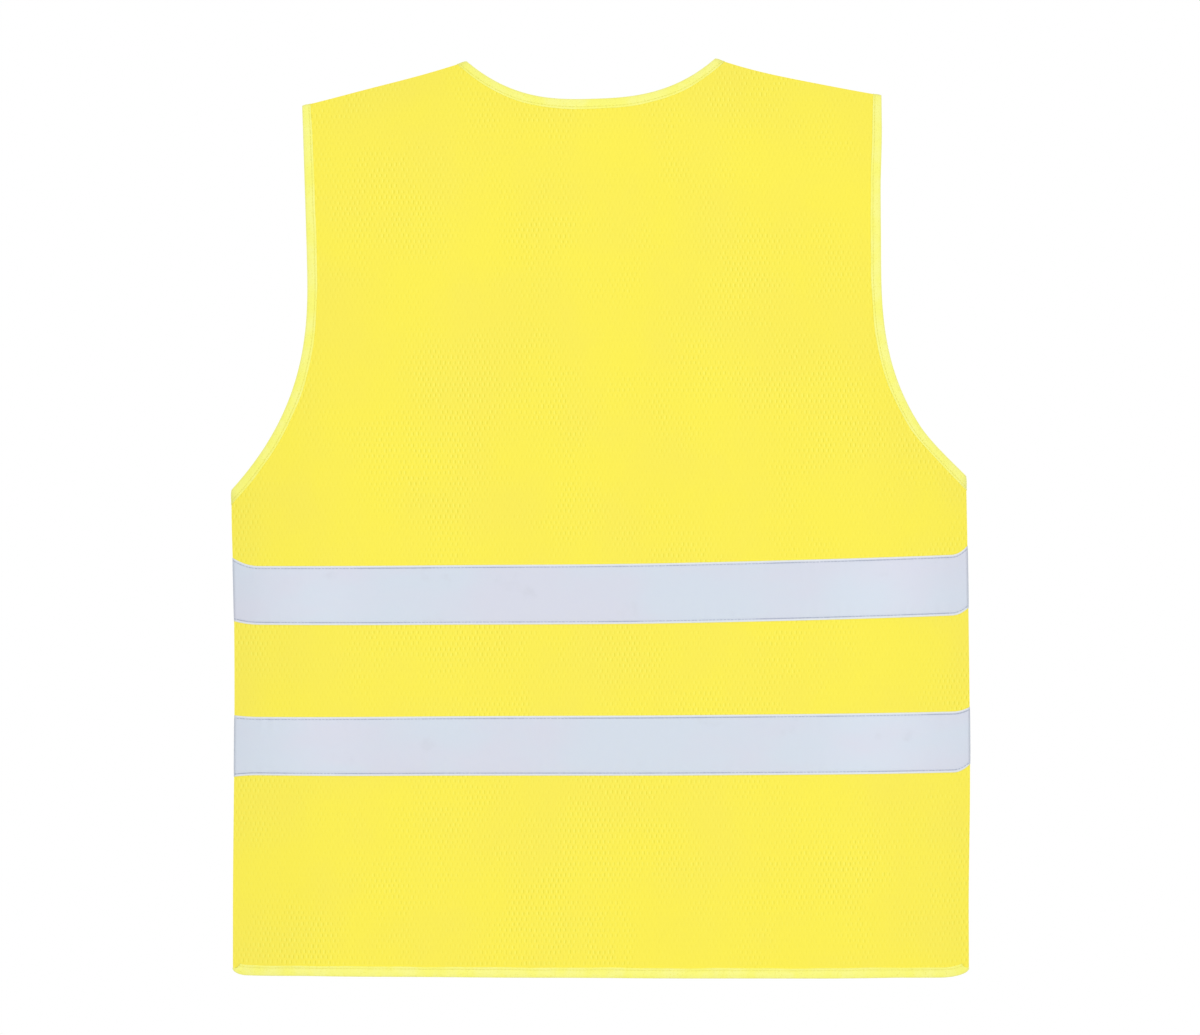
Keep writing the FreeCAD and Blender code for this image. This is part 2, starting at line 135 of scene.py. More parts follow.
# The hem is drawn up, in mm: everywhere, more towards the left, and less at the corners.
HEM_RISE = 0.8
HEM_RISE_LEFT = 1.5
HEM_LEFT = (-0.12, 0.35)
HEM_CORNER_DROP = 0.8
HEM_CORNER = (0.24, 0.05)


# --- the flat outline ---

def smooth(t):
    """0 below 0, 1 above 1, and an S curve between them."""
    t = np.clip(t, 0.0, 1.0)
    return t * t * (3.0 - 2.0 * t)


def onset(value, start, reach):
    """0 up to start, and a soft rise to 1 over the reach after it."""
    return smooth((value - start) / reach)


def shoulder_z(x):
    """Height of the shoulder line at x. Between the neck points it goes on as a low dome."""
    beyond = np.abs(x) - NECK_HALF
    outer = -(SHOULDER_SLOPE * beyond - SHOULDER_CURVE * beyond ** 2)
    dome = SHOULDER_SLOPE * NECK_HALF / 2.0 * (1.0 - (x / NECK_HALF) ** 2)
    return np.where(beyond >= 0.0, outer, dome)


SHOULDER_END = (ARMHOLE_X + ARMHOLE_FLARE, float(shoulder_z(ARMHOLE_X + ARMHOLE_FLARE)))


def armhole_x(depth):
    """Half width at the armhole edge at a depth below the neck points."""
    past = depth - ARMHOLE_WAIST
    upper = ARMHOLE_FLARE * (past / (ARMHOLE_WAIST + SHOULDER_END[1])) ** 2
    reach = np.clip(past / (UNDERARM - ARMHOLE_WAIST), 0.0, 1.0)
    lower = (HALF_WIDTH - ARMHOLE_X) * reach ** ARMHOLE_POWER
    return ARMHOLE_X + np.where(past <= 0.0, upper, lower)


def neckline():
    """Back neckline from the left neck point to the right one, as rows of (x, z)."""
    count = int(2.0 * NECK_HALF / OUTLINE_STEP)
    x = np.linspace(-NECK_HALF, NECK_HALF, count)
    return np.stack([x, -NECK_DEPTH * (1.0 - (np.abs(x) / NECK_HALF) ** NECK_POWER)], 1)


def shoulder(side):
    """Shoulder seam from the neck point out."""
    x = np.linspace(NECK_HALF, SHOULDER_END[0], 50)
    return np.stack([side * x, shoulder_z(x)], 1)


def armhole(side):
    """Armhole edge from the shoulder down to the side seam."""
    depth = np.linspace(-SHOULDER_END[1], UNDERARM, 160)
    return np.stack([side * armhole_x(depth), -depth], 1)


def side_seam(side):
    """Side seam from the armhole down to the rounded corner of the hem."""
    z = np.linspace(-UNDERARM, -LENGTH + HEM_CORNERS[side][1], 120)
    return np.stack([np.full_like(z, side * HALF_WIDTH), z], 1)


def hem_corner(side):
    """Quarter oval from the side seam to the hem."""
    wide, tall = HEM_CORNERS[side]
    turn = np.linspace(0.0, math.pi / 2.0, 13)
    x = HALF_WIDTH - wide * (1.0 - np.cos(turn))
    return np.stack([side * x, -LENGTH + tall * (1.0 - np.sin(turn))], 1)


def hem(x_from, x_to):
    """Hem between two places, corners not included."""
    x = np.linspace(x_from, x_to, int(abs(x_to - x_from) / OUTLINE_STEP))
    return np.stack([x, np.full_like(x, -LENGTH)], 1)


def front_edge(side):
    """V neck from the neck point, round its corner and down the front edge to the hem."""
    lap_x = -side * LAP
    start = np.array([side * NECK_HALF, 0.0])
    corner = np.array([lap_x, -V_DEPTH])
    slant = (corner - start) / np.linalg.norm(corner - start)
    turn = math.acos(-slant[1])
    reach = V_CORNER * math.tan(turn / 2.0)
    tangent = corner - slant * reach
    count = int(np.linalg.norm(tangent - start) / OUTLINE_STEP)
    points = [start + (tangent - start) * part for part in np.linspace(0.0, 1.0, count)]
    centre = np.array([lap_x + side * V_CORNER, -V_DEPTH - reach])
    for angle in np.linspace(turn, 0.0, 12)[1:]:
        points.append(centre + V_CORNER * np.array([-side * math.cos(angle), math.sin(angle)]))
    foot = np.array([lap_x, -LENGTH])
    last = points[-1]
    count = int((last[1] + LENGTH) / OUTLINE_STEP)
    points += [last + (foot - last) * part for part in np.linspace(0.0, 1.0, count)[1:]]
    return np.array(points)


def joined(*runs):
    """One outline or run from several that meet, repeated points left out."""
    points = np.concatenate(runs)
    step = np.linalg.norm(points - np.roll(points, 1, 0), axis=1)
    return points[step > SAME_PLACE]


def hem_end(side):
    """Where the straight hem meets the corner."""
    return side * (HALF_WIDTH - HEM_CORNERS[side][0])


def back_outline():
    return joined(neckline(), shoulder(1), armhole(1), side_seam(1), hem_corner(1),
                  hem(hem_end(1), hem_end(-1)), hem_corner(-1)[::-1], side_seam(-1)[::-1],
                  armhole(-1)[::-1], shoulder(-1)[::-1])


def front_outline(name):
    side = FRONT_SIGN[name]
    return joined(front_edge(side), hem(-side * LAP, hem_end(side)), hem_corner(side)[::-1],
                  side_seam(side)[::-1], armhole(side)[::-1], shoulder(side)[::-1])


# --- the form: from the flat outline to the hanging vest ---

def ease(part):
    """Straight line into 0, and a soft arrival at 1."""
    return np.where(part <= 0.0, 2.0 * part, 1.0 - (1.0 - np.minimum(part, 1.0)) ** 2)


def fullness(x, z):
    """0 at the shoulder and side seams, 1 over the flat middle of a panel."""
    return ease((shoulder_z(x) - z) / SHOULDER_ROUND) * ease((HALF_WIDTH - np.abs(x)) / SIDE_ROUND)


# Folds at the shoulders, what they gain by the hem, and how far from a tape's edge it puckers.
DRAPE_TOP = 0.35
DRAPE_GAIN = 0.9
PUCKER_REACH = 9.0 * MM
# The fronts lie calmer at their lap: by how much, and the (start, reach) of the rest.
LAP_CALM = 0.25
LAP_EDGE = (26.0 * MM, 50.0 * MM)
# How fast the unevenness sets in from the seams, and the step for measuring slopes.
RIPPLE_ONSET = 3.0
SLOPE_STEP = 0.5 * MM


def wave_set(count, across, along, size):
    """Random soft waves as rows of (x frequency, z frequency, phase, size)."""
    return np.stack([rng.uniform(*across, count) * rng.choice((-1.0, 1.0), count),
                     rng.uniform(*along, count),
                     rng.uniform(0.0, FULL_TURN, count),
                     size * rng.uniform(0.6, 1.0, count)], 1)


def waves_at(waves, x, z):
    """Sum of the waves at each place."""
    total = np.zeros(np.broadcast(x, z).shape)
    for across, along, phase, size in waves:
        total = total + size * np.sin(FULL_TURN * (across * x + along * z) + phase)
    return total


BROAD = {"back": wave_set(5, (1.0, 3.2), (0.4, 2.2), 0.5 * MM),
         "front": wave_set(5, (1.0, 3.2), (0.4, 2.2), 0.7 * MM)}
DRAPE = {"back": wave_set(4, (5.0, 9.0), (0.1, 0.7), 0.5 * MM),
         "front": wave_set(4, (5.0, 9.0), (0.1, 0.7), 0.9 * MM)}
PUCKER = {cloth: wave_set(4, (70.0, 105.0), (0.0, 12.0), 0.09 * MM) for cloth in ("back", "front")}

TAPE_TOPS = {level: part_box(level + "_tape_back")[1].z for level in ("upper", "lower")}
TAPE_WIDTH = TAPE_TOPS["upper"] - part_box("upper_tape_back")[0].z


def ripple(face, x, z):
    """Unevenness: broad softness, folds that deepen to the hem, puckers by the tapes."""
    cloth = "back" if face == "back" else "front"
    low = np.clip(-z / LENGTH, 0.0, 1.0)
    total = waves_at(BROAD[cloth], x, z)
    total = total + (DRAPE_TOP + DRAPE_GAIN * low ** 2) * waves_at(DRAPE[cloth], x, z)
    near = np.zeros(np.broadcast(x, z).shape)
    for top in TAPE_TOPS.values():
        for edge in (top, top - TAPE_WIDTH):
            near = near + np.exp(-((z - edge) / PUCKER_REACH) ** 2)
    total = total + near * waves_at(PUCKER[cloth], x, z)
    if cloth == "front":
        total = total * (LAP_CALM + (1.0 - LAP_CALM) * onset(np.abs(x), *LAP_EDGE))
    return total


def height(face, x, z):
    """Distance from the middle plane out to the inside of the cloth."""
    full = fullness(x, z)
    return FACES[face][1] * full + ripple(face, x, z) * np.clip(RIPPLE_ONSET * full, 0.0, 1.0)


def shift_at(shifts, value):
    """Sum of soft shifts, each strongest at its centre and falling to 0 on both sides."""
    return sum(size * np.exp(-((value - centre) / reach) ** 2) for size, centre, reach in shifts)


def lie(points):
    """Moves points as the vest lies: its lean, and the waver of its edges."""
    x, y, z = points[..., 0], points[..., 1], points[..., 2]
    lean = LEAN * onset(z, LEAN_LOW, LEAN_RISE)
    outer = (np.abs(x) / HALF_WIDTH) ** 4
    sides = shift_at(SIDE_SHIFTS[1], z) * (x > 0.0) + shift_at(SIDE_SHIFTS[-1], z) * (x < 0.0)
    arm = ARMHOLE_PULL * onset(-z, *ARMHOLE_TOP) + shift_at(ARMHOLE_SHIFT, z)
    arm = arm * onset(z, *ARMHOLE_FOOT) * onset(x, *ARMHOLE_OUTER)
    moved_x = x - lean * (z - LEAN_PIVOT) + sides * outer + arm
    crown = shift_at(SHOULDER_SHIFTS, x) * onset(z, *SHOULDER_BAND)
    rise = HEM_RISE + HEM_RISE_LEFT * onset(-x, *HEM_LEFT)
    rise = (rise - HEM_CORNER_DROP * onset(np.abs(x), *HEM_CORNER)) * MM
    moved_z = z + lean * x + crown + rise * onset(-z, *HEM_BAND)
    return np.stack([moved_x, y, moved_z], -1)


def place(face, x, z, lift):
    """Points and outward normals at places on a face, lift above the cloth's inside."""
    x, z, lift = np.broadcast_arrays(x, z, lift)
    sign = FACES[face][0]
    step = SLOPE_STEP
    slope_x = (height(face, x + step, z) - height(face, x - step, z)) / (2.0 * step)
    slope_z = (height(face, x, z + step) - height(face, x, z - step)) / (2.0 * step)
    normal = unit(np.stack([-slope_x, np.full_like(slope_x, sign), -slope_z], -1))
    base = np.stack([x, sign * height(face, x, z), z], -1)
    return lie(base + normal * lift[..., None]), normal


# --- mesh makers ---

SHARP_ANGLE = math.radians(60.0)
# At a seam the two cloths close up: below this fullness, and by how much.
PINCH_FULLNESS = 0.04
PINCH = 0.45 * MM
# A stitch: how its spacing varies, its half length as a share of that, its path as (share of the
# half length, height), and its radii.
STITCH_VARIES = 0.06
STITCH_HALF = 0.42
STITCH_PATH = ((-1.0, -0.14 * MM), (-0.7, 0.05 * MM), (0.0, 0.12 * MM), (0.7, 0.05 * MM),
               (1.0, -0.14 * MM))
STITCH_RADII = np.array([0.10, 0.19, 0.21, 0.19, 0.10]) * MM


def linked(name, data):
    """New object in the scene."""
    obj = bpy.data.objects.new(name, data)
    bpy.context.scene.collection.objects.link(obj)
    return obj


def piece(name, points, faces, material, marks=None):
    """Smooth-shaded mesh object from arrays. marks is a number for each point, for its material."""
    mesh = bpy.data.meshes.new(name)
    mesh.from_pydata(np.asarray(points).reshape(-1, 3).tolist(), [], [list(map(int, f)) for f in faces])
    if marks is not None:
        mesh.attributes.new("mark", "FLOAT", "POINT").data.foreach_set("value", np.ravel(marks))
    mesh.validate()
    mesh.polygons.foreach_set("use_smooth", [True] * len(mesh.polygons))
    obj = linked(name, mesh)
    mesh.materials.append(material)
    return obj


def crisp(obj):
    """Leaves the edges of a thin sheet unrounded in its shading."""
    obj.data.set_sharp_from_angle(angle=SHARP_ANGLE)
    return obj


def inside(points, outline):
    """True for each point inside a closed outline."""
    hit = np.zeros(len(points), bool)
    for (x0, z0), (x1, z1) in zip(outline, np.roll(outline, -1, 0)):
        if z0 == z1:
            continue
        crosses = (points[:, 1] > min(z0, z1)) & (points[:, 1] <= max(z0, z1))
        cross_x = x0 + (points[:, 1] - z0) * (x1 - x0) / (z1 - z0)
        hit ^= crosses & (points[:, 0] < cross_x)
    return hit


def nearest(points, outline):
    """Nearest place on a closed outline to each point."""
    start = outline[None]
    run = np.roll(outline, -1, 0)[None] - start
    part = np.clip(((points[:, None] - start) * run).sum(-1) / (run ** 2).sum(-1), 0.0, 1.0)
    feet = start + part[..., None] * run
    best = np.argmin(((points[:, None] - feet) ** 2).sum(-1), 1)
    return feet[np.arange(len(points)), best]


def cloth_grid(outline, step):
    """Square grid that fills an outline, its rim moved onto it: points, quads and rim edges."""
    low, high = outline.min(0), outline.max(0)
    counts = np.maximum(2, np.round((high - low) / step).astype(int))
    axes = [np.linspace(a, b, n + 1) for a, b, n in zip(low, high, counts)]
    grid = np.stack(np.meshgrid(*axes, indexing="ij"), -1)
    centres = (grid[:-1, :-1] + grid[1:, 1:]) / 2.0
    kept = inside(centres.reshape(-1, 2), outline).reshape(centres.shape[:2])
    number = np.arange(grid.shape[0] * grid.shape[1]).reshape(grid.shape[:2])
    quads = np.stack([number[:-1, :-1], number[1:, :-1], number[1:, 1:], number[:-1, 1:]], -1)[kept]
    sides = np.concatenate([quads[:, [k, (k + 1) % 4]] for k in range(4)])
    seen = {tuple(side) for side in sides}
    rim = np.array([side for side in seen if side[::-1] not in seen])
    points = grid.reshape(-1, 2).copy()
    rim_points = np.unique(rim)
    points[rim_points] = nearest(points[rim_points], outline)
    used = np.unique(quads)
    return points[used], np.searchsorted(used, quads), np.searchsorted(used, rim)


def relaxed(points, quads, rim):
    """Evens out the grid beside its rim."""
    fixed = np.zeros(len(points), bool)
    fixed[np.unique(rim)] = True
    pairs = np.concatenate([quads[:, [k, (k + 1) % 4]] for k in range(4)])
    pairs = np.concatenate([pairs, pairs[:, ::-1]])
    count = np.bincount(pairs[:, 0], minlength=len(points))
    for _round in range(6):
        total = np.zeros_like(points)
        np.add.at(total, pairs[:, 0], points[pairs[:, 1]])
        points = np.where(fixed[:, None], points, total / count[:, None])
    return points


def cloth_panel(name, face, outline, step, material, low=CLOTH_LOW, high=CLOTH_HIGH):
    """Closed sheet over an outline, from low to high above the face. It closes up at the seams."""
    points, quads, rim = cloth_grid(outline, step)
    points = relaxed(points, quads, rim)
    x, z = points[:, 0], points[:, 1]
    pinch = 1.0 - smooth(fullness(x, z) / PINCH_FULLNESS)
    outer, _normal = place(face, x, z, high)
    inner, _normal = place(face, x, z, low - PINCH * pinch)
    count = len(points)
    a, b = rim.T
    faces = np.concatenate([quads, quads[:, ::-1] + count, np.stack([a, a + count, b + count, b], 1)])
    if FACES[face][0] > 0:
        faces = faces[:, ::-1]
    return crisp(piece(name, np.concatenate([outer, inner]), faces, material))


def ring_quads(rows, sides, loop=False):
    """Quads between rings of points, and from the last ring to the first in a loop."""
    number = np.arange(rows * sides).reshape(rows, sides)
    here = number if loop else number[:-1]
    there = np.roll(number, -1, 0)[:len(here)]
    return np.stack([here, np.roll(here, -1, 1), np.roll(there, -1, 1), there], -1).reshape(-1, 4)


def band_mesh(name, rings, material, loop=False, marks=None):
    """Closed tube from rings of points, its ends capped unless it is a loop."""
    rows, sides = rings.shape[:2]
    faces = list(ring_quads(rows, sides, loop))
    if not loop:
        cap = np.arange(sides)
        faces += [cap[::-1], (rows - 1) * sides + cap]
    return piece(name, rings, faces, material, marks)


def unit(vectors):
    """The vectors at unit length."""
    return vectors / np.linalg.norm(vectors, axis=-1, keepdims=True)


def square_to(vectors, normals):
    """The vectors turned square to unit normals, at unit length."""
    return unit(vectors - normals * (vectors * normals).sum(1, keepdims=True))


def tangents(points):
    """Unit direction of travel along a run of points."""
    return unit(np.gradient(points, axis=0))


def distances(points):
    """Distance gone at each point of a run."""
    return np.concatenate([[0.0], np.cumsum(np.linalg.norm(np.diff(points, axis=0), axis=1))])


def sampled(at, gone, values):
    """Rows of values, given at the distances gone, read off at other distances."""
    return np.stack([np.interp(at, gone, column) for column in values.T], 1)


class Tubes:
    """Many small tubes of one shape, such as stitches, gathered into one mesh."""

    def __init__(self):
        self.points = []
        self.faces = []
        self.count = 0

    def add(self, base, side, up, path, radii, sides=5):
        """One tube at each base: path holds (along side, along up) for each ring."""
        path = np.asarray(path)
        ahead = tangents(path)
        turn = (np.arange(sides) * FULL_TURN / sides)[:, None]
        wide = np.cross(side, up)
        centre = base[:, None] + side[:, None] * path[:, :1] + up[:, None] * path[:, 1:]
        rise = up[:, None] * ahead[:, :1] - side[:, None] * ahead[:, 1:]
        ring = rise[:, :, None] * np.cos(turn) + wide[:, None, None] * np.sin(turn)
        points = centre[:, :, None] + ring * radii[:, None, None]
        each = len(path) * sides
        start = self.count + np.arange(len(base))[:, None] * each
        cap = np.arange(sides)
        self.faces.extend((ring_quads(len(path), sides) + start[..., None]).reshape(-1, 4))
        self.faces.extend(cap[::-1] + start)
        self.faces.extend(cap + each - sides + start)
        self.points.append(points.reshape(-1, 3))
        self.count += len(base) * each

    def stitches(self, points, normals, pitch=3.0 * MM):
        """Stitches in a row along a path, each dipping into the cloth at its ends."""
        gone = distances(points)
        at = np.arange(pitch, gone[-1] - pitch / 2.0, pitch)
        at = at + rng.uniform(-STITCH_VARIES, STITCH_VARIES, len(at)) * pitch
        side = unit(sampled(at, gone, tangents(points)))
        up = square_to(sampled(at, gone, normals), side)
        half = STITCH_HALF * pitch
        path = [(part * half, rise) for part, rise in STITCH_PATH]
        self.add(sampled(at, gone, points), side, up, path, STITCH_RADII)

    def piece(self, name, material, slot_name):
        return piece(name, np.concatenate(self.points), self.faces, material)


stitching = {(face, colour): Tubes() for face in FACES for colour in ("yellow", "grey")}


def sew(face, x, z, outside, inside, colour="yellow"):
    """Row of stitches along flat points, at both sides of what it sews together."""
    points, normals = place(face, x, z, outside)
    stitching[face, colour].stitches(points, normals)
    points, normals = place(face, x, z, inside)
    stitching[face, "yellow"].stitches(points, -normals)


# --- materials ---

class Nodes:
    """Short calls for building one material's node tree."""

    def __init__(self, name):
        self.material = bpy.data.materials.new(name)
        self.material.use_nodes = True
        self.tree = self.material.node_tree
        self.shader = self.tree.nodes["Principled BSDF"]
        coordinates = self.tree.nodes.new("ShaderNodeTexCoord")
        self.place = coordinates.outputs["Object"]
        split = self.tree.nodes.new("ShaderNodeSeparateXYZ")
        self.tree.links.new(self.place, split.inputs[0])
        self.x, self.y, self.z = split.outputs

    def feed(self, socket, value):
        if isinstance(value, bpy.types.NodeSocket):
            self.tree.links.new(value, socket)
        else:
            socket.default_value = value

    def math(self, operation, *values):
        node = self.tree.nodes.new("ShaderNodeMath")
        node.operation = operation
        for socket, value in zip(node.inputs, values):
            self.feed(socket, value)
        return node.outputs[0]

    def plus(self, first, second):
        return self.math("ADD", first, second)

    def minus(self, first, second):
        return self.math("SUBTRACT", first, second)

    def times(self, first, second):
        return self.math("MULTIPLY", first, second)

    def colour(self, value):
        self.feed(self.shader.inputs["Base Color"], value)

    def wave(self, value, pitch):
        """Sine wave along a value."""
        return self.math("SINE", self.times(value, FULL_TURN / pitch))

    def evenly(self, **values):
        """Sets shader inputs that are the same all over the surface."""
        for name, value in values.items():
            self.shader.inputs[name.replace("_", " ")].default_value = value
        return self.material

    def noise(self, scale, detail=2.0, stretch=(1.0, 1.0, 1.0)):
        mapping = self.tree.nodes.new("ShaderNodeMapping")
        mapping.inputs["Scale"].default_value = stretch
        self.feed(mapping.inputs["Vector"], self.place)
        node = self.tree.nodes.new("ShaderNodeTexNoise")
        node.inputs["Scale"].default_value = scale
        node.inputs["Detail"].default_value = detail
        self.feed(node.inputs["Vector"], mapping.outputs[0])
        return node.outputs[0]

    def ramp(self, value, low, high):
        """value from low to high, mapped smoothly to 0 to 1."""
        node = self.tree.nodes.new("ShaderNodeMapRange")
        node.interpolation_type = "SMOOTHSTEP"
        self.feed(node.inputs["Value"], value)
        node.inputs["From Min"].default_value = low
        node.inputs["From Max"].default_value = high
        return node.outputs[0]

    def mix(self, factor, first, second):
        node = self.tree.nodes.new("ShaderNodeMix")
        node.data_type = "RGBA"
        self.feed(node.inputs["Factor"], factor)
        self.feed(node.inputs["A"], first)
        self.feed(node.inputs["B"], second)
        return node.outputs["Result"]

    def bump(self, height_value, strength, distance):
        node = self.tree.nodes.new("ShaderNodeBump")
        node.inputs["Strength"].default_value = strength
        node.inputs["Distance"].default_value = distance
        self.feed(node.inputs["Height"], height_value)
        self.feed(self.shader.inputs["Normal"], node.outputs[0])

    def dots(self, across, up, pitch_across, pitch_up, wide, tall):
        """1 in the middle of each oval of a staggered grid, 0 between them."""
        v = self.math("DIVIDE", up, pitch_up)
        row = self.math("FLOOR", v)
        shift = self.times(self.math("FLOORED_MODULO", row, 2.0), 0.5)
        u = self.plus(self.math("DIVIDE", across, pitch_across), shift)
        du = self.math("DIVIDE", self.minus(self.math("FRACT", u), 0.5), wide)
        dv = self.math("DIVIDE", self.minus(self.math("FRACT", v), 0.5), tall)
        away = self.plus(self.times(du, du), self.times(dv, dv))
        return self.ramp(away, 1.0, 0.25)


def linear(*parts):
    """Linear colour from the 8-bit sRGB parts of a bright one."""
    return tuple(((part / 255.0 + 0.055) / 1.055) ** 2.4 for part in parts) + (1.0,)


def darker(colour, share):
    """A share of a colour's light."""
    return tuple(part * share for part in colour[:3]) + (1.0,)


def mesh_knit():
    """Fluorescent warp-knitted mesh: staggered small openings with painted shade, between raised ribs
    with a painted highlight.
    """
    n = Nodes("fluorescent_mesh")
    across = n.plus(n.x, n.times(n.minus(n.noise(90.0), 0.5), 0.0014))
    up = n.plus(n.z, n.times(n.minus(n.noise(120.0), 0.5), 0.0034))
    pitch = (0.0041, 0.0046)
    hole = n.dots(across, up, *pitch, 0.135, 0.46)
    beside = n.dots(n.plus(across, 0.0013), up, *pitch, 0.15, 0.44)
    cloud = n.noise(14.0, 4.0)
    patchy = n.ramp(n.noise(11.0, 4.0), 0.38, 0.64)
    fleck = n.ramp(n.noise(130.0, 1.0), 0.30, 0.65)
    seen = n.times(n.plus(0.15, n.times(patchy, 0.85)),
                  n.plus(0.3, n.times(fleck, 0.7)))
    base = n.mix(n.ramp(cloud, 0.3, 0.7), linear(252, 239, 78), linear(250, 236, 84))
    # Painted highlight: lighter dots on the raised ribs beside each opening, as if lit.
    rib_highlighted = n.mix(n.times(beside, seen), base, linear(255, 247, 104))
    # Painted shade: the openings are darker, as if shade falls into them.
    n.colour(n.mix(n.times(hole, seen), rib_highlighted, linear(235, 223, 62)))
    wale = n.wave(across, 0.00068)
    course = n.wave(n.z, 0.00077)
    knit = n.times(n.plus(wale, course), 0.07)
    n.bump(n.minus(knit, n.times(hole, 0.45)), 0.5, 0.00025)
    return n.evenly(Roughness=0.82, Sheen_Weight=0.15, Sheen_Roughness=0.6, Specular_IOR_Level=0.25)


def binding_tape():
    """Soft woven binding, lemon yellow, with a fine cross rib."""
    n = Nodes("binding_tape")
    cloud = n.ramp(n.noise(60.0, 3.0), 0.3, 0.7)
    grain = n.noise(900.0, 2.0)
    base = n.mix(cloud, linear(251, 249, 116), linear(251, 250, 140))
    n.colour(n.mix(n.ramp(grain, 0.55, 0.8), base, linear(240, 232, 96)))
    weave = n.plus(n.wave(n.z, 0.0009), n.wave(n.x, 0.0009))
    n.bump(n.plus(n.times(weave, 0.3), grain), 0.35, 0.0002)
    return n.evenly(Roughness=0.6, Sheen_Weight=0.25, Specular_IOR_Level=0.35)


def reflective_tape():
    """Glass-bead tape on a woven backing: silver grey with a faint cool and warm cast, a painted
    highlight along each edge and painted shade along each stitch line.
    """
    n = Nodes("reflective_tape")
    cast = n.ramp(n.noise(9.0, 3.0, (1.0, 1.0, 2.0)), 0.35, 0.65)
    base = n.mix(cast, linear(211, 220, 233), linear(214, 217, 231))
    wear = n.ramp(n.noise(38.0, 5.0), 0.62, 0.80)
    worn = n.mix(n.times(wear, 0.35), base, linear(200, 203, 214))
    mark = n.tree.nodes.new("ShaderNodeAttribute")
    mark.attribute_name = "mark"
    edge = mark.outputs["Fac"]
    # Painted highlight: a pale band within about 1.6 mm of each tape edge, where the rounded edge would
    # catch the light.
    rim = n.minus(1.0, n.ramp(edge, 0.9, 1.6))
    pale = n.mix(n.times(rim, 0.65), worn, linear(230, 235, 236))
    # Painted shade: a dark, broken line 1.4 to 2.7 mm in from each edge, the shade of the stitch
    # groove.
    line = n.times(n.ramp(edge, 1.4, 1.9), n.minus(1.0, n.ramp(edge, 2.2, 2.7)))
    broken = n.times(n.ramp(n.noise(24.0, 3.0), 0.40, 0.58), 0.65)
    n.colour(n.mix(n.times(line, broken), pale, linear(158, 166, 188)))
    beads = n.noise(2600.0, 0.0)
    lines = n.wave(n.plus(n.x, n.z), 0.0008)
    n.bump(n.plus(n.times(lines, 0.25), beads), 0.25, 0.00012)
    n.feed(n.shader.inputs["Roughness"], n.plus(0.48, n.times(wear, 0.15)))
    return n.evenly(Metallic=0.1, Specular_IOR_Level=0.5)


def thread(name, colour):
    """Spun sewing thread."""
    n = Nodes(name)
    twist = n.noise(1800.0, 1.0)
    n.colour(n.mix(n.ramp(twist, 0.4, 0.7), colour, darker(colour, 0.86)))
    n.bump(twist, 0.3, 0.0001)
    return n.evenly(Roughness=0.5, Sheen_Weight=0.2)


def satin():
    """White satin label ribbon with fine woven lines."""
    n = Nodes("satin_label")
    lines = n.wave(n.z, 0.0005)
    cloud = n.ramp(n.noise(70.0, 3.0), 0.35, 0.7)
    n.colour(n.mix(cloud, linear(246, 246, 242), linear(236, 237, 232)))
    n.bump(n.plus(n.times(lines, 0.5), n.noise(700.0)), 0.25, 0.0001)
    return n.evenly(Roughness=0.38, Anisotropic=0.4, Sheen_Weight=0.3)


def nylon(name, colour, roughness):
    """Woven nylon ground of a hook or loop tape."""
    n = Nodes(name)
    warp = n.wave(n.x, 0.0007)
    weft = n.wave(n.z, 0.0007)
    weave = n.times(warp, weft)
    n.colour(n.mix(n.ramp(weave, -0.8, 0.6), darker(colour, 0.8), colour))
    n.bump(n.plus(weave, n.noise(1500.0)), 0.5, 0.00015)
    return n.evenly(Roughness=roughness, Sheen_Weight=0.15)


MESH_KNIT = mesh_knit()
BINDING_TAPE = binding_tape()
REFLECTIVE = reflective_tape()
THREADS = {"yellow": thread("yellow_thread", linear(246, 240, 110)),
           "grey": thread("grey_thread", linear(176, 184, 204))}
SATIN = satin()
HOOK_NYLON = nylon("hook_nylon", linear(240, 230, 84), 0.35)
LOOP_NYLON = nylon("loop_nylon", linear(247, 240, 110), 0.75)


# --- cloth panels ---

GRID_STEP = {"back": 4.0 * MM, "front": 3.0 * MM}


def fold(obj, name):
    """Finds the joint at one front's fold line and the way across it, and bakes obj's transform into
    its mesh.
    """
    joint = next(j for j in frame["joints"] if j["child"] == FRONT_BODY[name])
    across = np.cross(joint["axis"], (0.0, 1.0, 0.0))
    across *= -FRONT_SIGN[name] * np.sign(across[0])
    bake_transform(obj)


def panels():
    outline = back_outline()
    back = cloth_panel("back_cloth", "back", outline, GRID_STEP["back"], MESH_KNIT)
    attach(back, "vest")
    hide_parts("back_panel")
    for name in FRONT_SIGN:
        outline = front_outline(name)
        front = cloth_panel(f"front_{name}_cloth", name, outline, GRID_STEP["front"], MESH_KNIT)
        fold(front, name)
        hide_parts(f"front_{name}_panel", f"front_{name}_flap")


panels()


# --- reflective tapes ---

TAPE_THICK = 0.4 * MM
TAPE_LIFT = 0.85 * MM
TAPE_UNDER = 0.2 * MM
TAPE_STITCH = 2.1 * MM
TAPE_STEP = 2.5 * MM
# Rows of points on each half of a tape, in from its edge.
TAPE_ROWS = np.array([0.0, 0.25, 0.8, 1.2, 1.6, 2.1, 2.6, 3.1, 5.0, 10.0, 17.0]) * MM
# Shape across a tape, as (size, reach): its stitch groove, rounded edge, puckers and belly.
GROOVE = (0.18 * MM, 0.6 * MM)
ROUNDING = (0.2 * MM, 0.6 * MM)
PUCKERS = (0.09 * MM, 6.0 * MM)
PUCKER_PITCH = 7.3 * MM
BELLY = (0.22 * MM, 12.0 * MM)
# How far a tape's front end tucks under the edge binding, and the (start, reach) of its rise.
TUCK = 0.4 * MM
TUCK_END = (2.0 * MM, 4.0 * MM)
# What a tape's flat length has beyond the flat outline.
TAPE_EXTRA_BACK = 0.010
